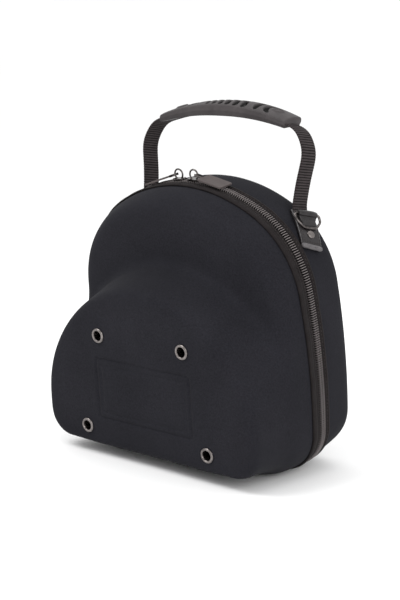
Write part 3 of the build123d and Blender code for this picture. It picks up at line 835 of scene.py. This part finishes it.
for place, (x, z) in EYELETS.items():
    ring = eyelet("eyelet_ring_" + place, x, z)
    finish(ring, "front_half", DARK_NICKEL, ["eyelet_" + place])

# Handle ----------------------------------------------------------------------


def above_feet(points):
    """Handle's own plane (across the case, through the strap, up) to the case frame."""
    return about_x(points, HANDLE_TURN) + np.array([0, FOOT[1], FOOT[2]])


def strap_line(count):
    """Centre line of the webbing: up from under one patch, through the grip and
    down to the other, as a polyline with softened corners."""
    half = [(107.5, -9.5), (95.8, -1.0), (98.0, 26), (103.6, 58), (92.0, 79.0), (60, 87.5), (0, 94.0)]
    corners = [(-x, h) for x, h in half[:-1]] + [half[-1]] + half[-2::-1]
    return rounded(corners, count, (20.0, 12.0))


def handle_webbing():
    """Flat ribbed strap: a rounded oblong section carried along the line, its two
    faces raised by a wave every rib."""
    count = 1800
    line = strap_line(count)
    run = np.concatenate([[0], np.cumsum(np.hypot(*np.diff(line, axis=0).T))])
    tangent = np.gradient(line, axis=0)
    tangent /= np.linalg.norm(tangent, axis=1, keepdims=True)
    normal = np.stack([-tangent[:, 1], tangent[:, 0]], -1)
    corners = [(-11, -0.75), (11, -0.75), (11, 0.75), (-11, 0.75), (-11, -0.75)]
    across, thick = rounded(corners, 35, (0.9,))[:-1].T
    face = smooth_step(10.9, 10.2, np.abs(across))
    rib = np.sqrt(np.abs(np.sin(np.pi * run / RIB_PITCH)))
    lift = thick + np.sign(thick) * face * 0.36 * rib[:, None]
    edge = across + np.sign(across) * (1 - face) * 0.12 * np.sin(2 * np.pi * run / RIB_PITCH)[:, None]
    points = np.stack(
        [line[:, :1] + normal[:, :1] * lift, edge, line[:, 1:] + normal[:, 1:] * lift], -1
    )
    runs = np.broadcast_to(run[:, None], lift.shape) / 1000
    girths = np.broadcast_to(across, lift.shape) / 1000
    faces = tube_faces(count, len(across))
    return build("handle_ribbed_webbing", stand(above_feet(points)), faces, runs, girths)


def segment_distance(s, t, start, end):
    """Distance from each point to a straight segment."""
    (a, b), (c, d) = start, end
    along = np.clip(((s - a) * (c - a) + (t - b) * (d - b)) / ((c - a) ** 2 + (d - b) ** 2), 0, 1)
    return np.hypot(s - a - along * (c - a), t - b - along * (d - b))


def grip_pattern(s, t):
    """Depth of the hollows in the grip's top, 0 to 1: slanted slots either side of
    its middle, the outer ones wider, then two crescents round each end's boss. A
    crescent is a band about a circle that thins away from its middle."""
    hollow = np.zeros(np.broadcast(s, t).shape)
    for place, radius in ((-24, 1.6), (-16, 1.8), (-7.5, 2.0), (1.5, 2.4), (11.5, 2.7), (22, 2.9)):
        d = segment_distance(s, t, (place + 5, -12.0), (place - 5, 10.0))
        hollow = np.maximum(hollow, smooth_step(radius + 0.5, radius - 0.5, d))
    inwards, reach = BOSS_PLACE - np.abs(s), np.hypot(BOSS_PLACE - np.abs(s), t)
    turn = np.arctan2(np.abs(t), inwards)
    for radius, thick, spread in ((12.5, 2.9, 1.25), (23.5, 3.2, 0.62)):
        band = thick * np.sqrt(np.clip(1 - (turn / spread) ** 2, 0, 1))
        inside = smooth_step(band + 0.5, band - 0.5, np.abs(reach - radius)) * (band > 0.3)
        hollow = np.maximum(hollow, inside)
    return hollow


def grip_boss(s, t):
    """Height of the small oval ring near each end of the grip."""
    d = np.hypot((np.abs(s) - BOSS_PLACE) / 1.2, t) - 4.4
    return np.exp(-((d / 1.0) ** 2))


def handle_grip():
    """Bowed moulded grip: a rounded oblong section whose height and width vary along
    it as parabolas, crowned and tipped a little forwards, its top's hollows pressed in."""
    count = 360
    s = np.linspace(-1, 1, count)
    s = np.sign(s) * (1 - (1 - np.abs(s)) ** 1.12)
    long = GRIP_HALF * s
    top = 101.4 - 14.0 * np.abs(s) ** 2
    deep = 11.6 - 4.6 * np.abs(s) ** 1.6
    half_width = GRIP_HALF_WIDTH - 1.6 * np.abs(s) ** 3
    close = np.sqrt(np.clip(1 - ((np.abs(s) - 0.975) / 0.025) ** 2, 0.03, 1))
    close = np.where(np.abs(s) > 0.975, close, 1.0)
    outline = [(-1, 0), (-0.84, -1), (0.84, -1), (1, 0), (1, 0.86), (0.97, 1)]
    outline += [(-0.97, 1), (-1, 0.86), (-1, 0)]
    scale = np.array([GRIP_HALF_WIDTH, 5.8])
    section = rounded(np.array(outline) * scale, 201, (1.0, 0.7))[:-1] / scale
    across, up = section.T
    half = deep / 2 * (0.8 + 0.2 * close)
    t = half_width[:, None] * across * (0.92 + 0.08 * close)[:, None]
    crown = GRIP_CROWN * (1 - across**2) * smooth_step(-0.2, 0.9, up)
    h = (top - deep / 2)[:, None] + half[:, None] * up + crown + GRIP_TIP * t
    on_top = smooth_step(0.9, 0.97, up) * (np.abs(s) < 0.95)[:, None]
    hollow = grip_pattern(long[:, None], t) * on_top
    h = h - 4.2 * hollow + 1.2 * grip_boss(long[:, None], t) * on_top
    points = np.stack([np.broadcast_to(long[:, None], t.shape), t, h], -1)
    faces = tube_faces(count, len(across))
    return build("handle_moulded_grip", stand(above_feet(points)), faces, hollows=hollow)


webbing = handle_webbing()
webbing.data.materials.append(WEBBING)
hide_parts("handle_webbing", "webbing_end_left", "webbing_end_right")
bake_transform(webbing)
finish(handle_grip(), "handle", GRIP, ["handle_grip"])

# Anchors ---------------------------------------------------------------------


def on_rear(down, across, lift, side):
    """Point on the rear shell, given along and across the slanted strap from the
    anchor, and its height above the skin. The skin is a shoulder arc, then a round
    towards the back."""
    arc = down * np.cos(ANCHOR_SLANT) + across * np.sin(ANCHOR_SLANT)
    y = ANCHOR_Y - down * np.sin(ANCHOR_SLANT) + across * np.cos(ANCHOR_SLANT)
    angle = ANCHOR_ANGLE + arc / SHOULDER_RADIUS
    turn = np.clip((y - SHOULDER_FLAT_END) / REAR_ROUND, 0, 1.4)
    drop = REAR_ROUND * (1 - np.cos(turn))
    y = np.minimum(y, SHOULDER_FLAT_END) + REAR_ROUND * np.sin(turn) + lift * np.sin(turn)
    reach = SHOULDER_RADIUS - drop + lift * np.cos(turn)
    x = SHOULDER_CENTRE[0] + reach * np.sin(angle)
    z = SHOULDER_CENTRE[1] + reach * np.cos(angle)
    return np.stack([side * x, y, z], -1)


def patch_piece(name, side):
    """Leather patch: a slab that follows the skin, thinned along its edges, with a
    shallow trough under each row of stitches."""
    down = np.linspace(PATCH_TOP, PATCH_END, 74)
    across = np.linspace(-PATCH_HALF, PATCH_HALF, 46)
    u, v = np.meshgrid(down, across, indexing="ij")
    rim = np.minimum(np.minimum(u - PATCH_TOP, PATCH_END - u), PATCH_HALF - np.abs(v))
    crown = 1.0 - np.exp(-rim / 0.8)
    seam = np.exp(-(((rim - 3.0) / 0.7) ** 2))
    top = 2.3 + 1.7 * crown - 0.35 * seam
    bottom = 0.25 + 0 * u
    points = np.concatenate([on_rear(u, v, top, side), on_rear(u, v, bottom, side)[:, ::-1]], 1)
    return build(name, stand(points), tube_faces(points.shape[0], points.shape[1]))


def rolled_edge(name, side):
    """Turned-over end of the patch: a round roll across its bottom."""
    turn = np.linspace(0, 2 * np.pi, 20, endpoint=False)
    across = np.linspace(-12.6, 12.6, 30)
    swell = 2.35 * np.sqrt(np.clip(1 - (across / 12.9) ** 12, 0, 1))
    u = 22.3 + np.outer(swell, np.cos(turn)) * 1.05
    lift = 2.5 + np.outer(swell, np.sin(turn))
    v = np.broadcast_to(across[:, None], u.shape)
    return build(name, stand(on_rear(u, v, lift, side)), tube_faces(30, 20))


def patch_stitches(name, side):
    """Stitches in a rectangle, set in from the patch's edge."""
    corners = [(-2.0, -9.6), (18.4, -9.6), (18.4, 9.6), (-2.0, 9.6)]
    template, faces = capsule(2.1, 0.34, 5, 6, 0.15)
    points = []
    for start, end in zip(corners[:-1], corners[1:]):
        start, end = np.array(start), np.array(end)
        length = np.linalg.norm(end - start)
        direction = (end - start) / length
        middles = start + np.arange(1.6, length, 2.9)[:, None] * direction
        local = template[None, :, :]
        u = middles[:, :1] + local[..., 0] * direction[0] - local[..., 1] * direction[1]
        v = middles[:, 1:] + local[..., 0] * direction[1] + local[..., 1] * direction[0]
        points.append(on_rear(u, v, 3.62 + local[..., 2], side))
    points = np.concatenate(points)
    return build(name, stand(points), copied_faces(faces, len(template), len(points)))


def loop_piece(name, side):
    """Leather folded round the ring's bar: a section that goes round the bar and
    out to a thin flap, carried across the strap and narrowed towards the flap."""
    turn = np.linspace(-0.35 * np.pi, 1.12 * np.pi, 22)
    fold = [(LOOP_DOWN + 3.05 * np.cos(a), LOOP_LEVEL + 3.05 * np.sin(a)) for a in turn]
    flap = [(-14.1, 4.05), (1.6, 4.05), (1.9, 4.7), (1.2, 5.2), (-5.0, 6.0), (-8.2, 7.2), (-9.1, 5.6)]
    section = rounded(np.array(fold + flap + fold[:1]), 60, (0.5,))[:-1]
    across = np.concatenate([[-9.6], np.linspace(-9.3, 9.3, 22), [9.6]])
    shrink = np.concatenate([[0.35], np.zeros(22), [0.35]])
    centre = section.mean(0)
    u = section[:, 0] + shrink[:, None] * np.sign(centre[0] - section[:, 0])
    lift = section[:, 1] + shrink[:, None] * np.sign(centre[1] - section[:, 1])
    v = across[:, None] * (1 - 0.3 * smooth_step(-9, 2, u))
    return build(name, stand(on_rear(u, v, lift, side)), tube_faces(*u.shape))


for label, side in (("left", -1), ("right", 1)):
    for shape, name, leather_finish, replaced in (
        (patch_piece, "leather_patch_", LEATHER, ["anchor_patch_" + label]),
        # The rolled edge takes the paler leather copy, a painted highlight.
        (rolled_edge, "leather_roll_", HIGHLIT_LEATHER, []),
        (patch_stitches, "patch_stitches_", THREAD, []),
        (loop_piece, "leather_loop_", LEATHER, ["anchor_loop_" + label]),
    ):
        finish(shape(name + label, side), "rear_half", leather_finish, replaced)

# Carried-over nodes ----------------------------------------------------------
CARRIED = {
    "eyelet_washers": DARK_NICKEL,
    "front_zip_stops": NICKEL,
    "rear_zip_stops": NICKEL,
}
for label in ("left", "right"):
    for node in ("tab_rivet_", "rivet_washer_"):
        CARRIED[node + label] = DARK_NICKEL
    for node in ("slider_", "pull_clasp_", "ring_"):
        CARRIED[node + label] = BLACK_NICKEL
    CARRIED["pull_tag_" + label] = TAG
for node, material in CARRIED.items():
    NODES[node].data.materials.clear()
    NODES[node].data.materials.append(material)

# Floor, light and camera -----------------------------------------------------


def floor():
    """Pale level floor that curves up far behind the box."""
    side = np.linspace(-6, 6, 40)
    depth = np.linspace(-6, 6, 60)
    x, y = np.meshgrid(side, depth, indexing="ij")
    z = 0.25 * np.maximum(y - 3.5, 0) ** 2
    ground = build("studio_floor", np.stack([x, y, z], -1), grid_faces(40, 60))
    paint = Paint("studio paper", 0.9, Specular_IOR_Level=0.1)
    tone = paint.noise(3, 2)
    paint.colour(paint.blend(tone, (0.93, 0.93, 0.93), (0.96, 0.96, 0.96)))
    ground.data.materials.append(paint.material)


def softbox(name, place, target, size, power):
    """Rectangular area light in watts, placed and sized in metres, facing a target."""
    light = bpy.data.lights.new(name, "AREA")
    light.shape, light.size, light.size_y, light.energy = "RECTANGLE", size[0], size[1], power
    lamp = bpy.data.objects.new(name, light)
    lamp.location = place
    lamp.rotation_euler = (Vector(target) - Vector(place)).to_track_quat("-Z", "Y").to_euler()
    bpy.context.scene.collection.objects.link(lamp)


floor()
softbox("key softbox", (-0.9, -1.6, 2.3), (0, 0, 0.12), (1.2, 1.2), 34)
softbox("fill softbox", (2.1, -1.0, 1.3), (0, 0, 0.15), (1.5, 1.5), 24)
softbox("top softbox", (0.2, 0.9, 2.4), (0, 0, 0.15), (1.8, 1.2), 8)

world = bpy.data.worlds.new("studio")
bpy.context.scene.world = world
world.use_nodes = True
world.node_tree.nodes["Background"].inputs["Color"].default_value = (1, 1, 1, 1)
world.node_tree.nodes["Background"].inputs["Strength"].default_value = 1.05

AZIMUTH, ELEVATION, ROLL = np.radians((41.97, 17.93, 6.17))
level = np.array([np.cos(AZIMUTH), np.sin(AZIMUTH), 0.0])
outwards = np.array([np.sin(AZIMUTH), -np.cos(AZIMUTH), 0.0])
back = outwards * np.cos(ELEVATION) + np.array([0.0, 0.0, np.sin(ELEVATION)])
upward = np.cross(back, level)
right = np.cos(ROLL) * level - np.sin(ROLL) * upward
upward = np.sin(ROLL) * level + np.cos(ROLL) * upward
axes = about_x(np.stack([right, upward, back]), LEAN)
camera_data = bpy.data.cameras.new("camera")
camera_data.sensor_width, camera_data.lens = 36.0, 80.345
camera = bpy.data.objects.new("camera", camera_data)
turned = Matrix([list(row) for row in axes.T]).to_4x4()
camera.matrix_world = Matrix.Translation(Vector(stand((852.9, -938.5, 573.2)))) @ turned
bpy.context.scene.collection.objects.link(camera)
bpy.context.scene.camera = camera
bpy.context.scene.view_settings.view_transform = "Standard"
